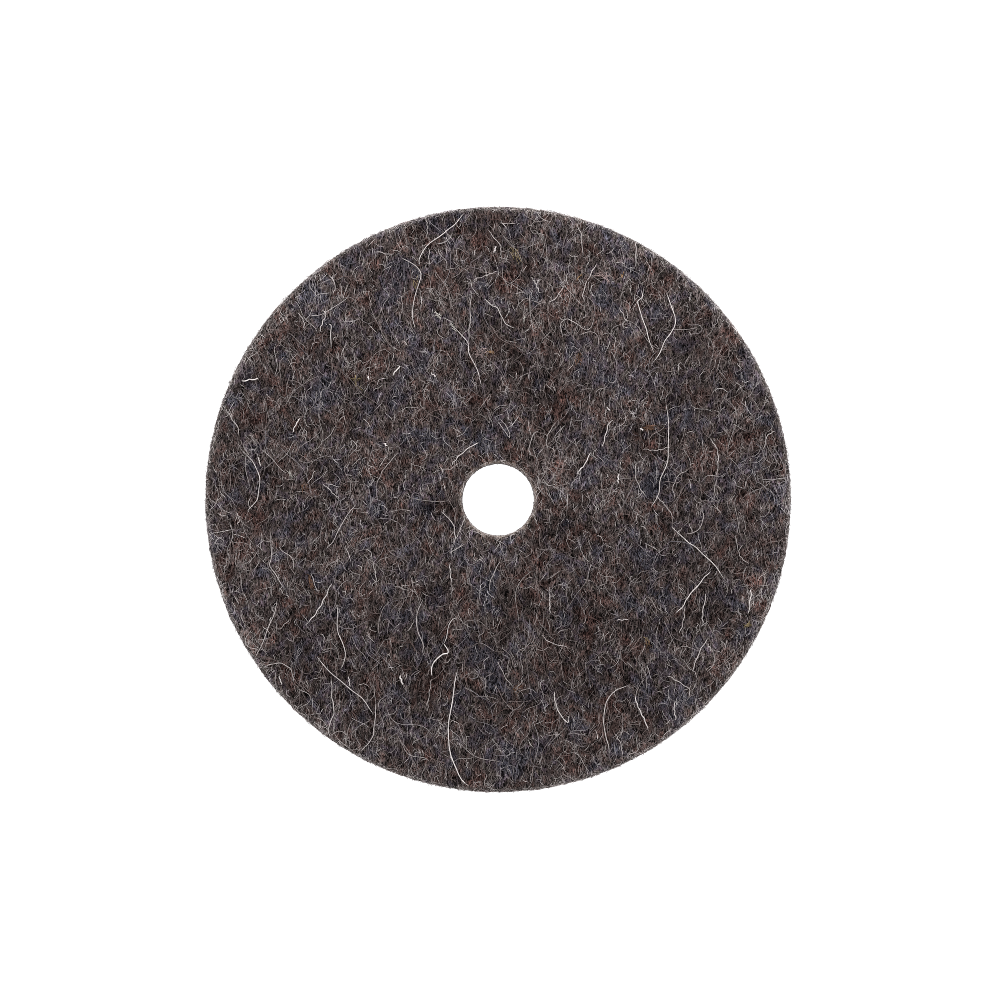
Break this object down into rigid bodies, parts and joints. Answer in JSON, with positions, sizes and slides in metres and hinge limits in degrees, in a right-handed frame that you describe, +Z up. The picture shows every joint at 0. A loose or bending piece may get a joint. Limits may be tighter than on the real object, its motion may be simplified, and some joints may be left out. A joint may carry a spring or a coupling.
{
  "type": "felt polishing wheel",
  "caption": "Flat round polishing wheel of thick pressed grey wool felt, with soft die-cut edges and a central arbor hole.",
  "frame": {"origin": "centre of the wheel, on the axis of the arbor hole and halfway through the thickness", "axes": "the wheel spins about Y; the front face looks along -Y and the back face along +Y; X is to the right seen from the front, and Z is up"},
  "size_m": [0.1016, 0.0126, 0.1016],
  "materials": {
    "wool_felt": "matt pressed wool felt of mixed dark grey, brown and blue-grey fibres, with long pale guard hairs"
  },
  "bodies": {
    "root": {"felt_disc": "wool_felt"}
  },
  "joints": []
}
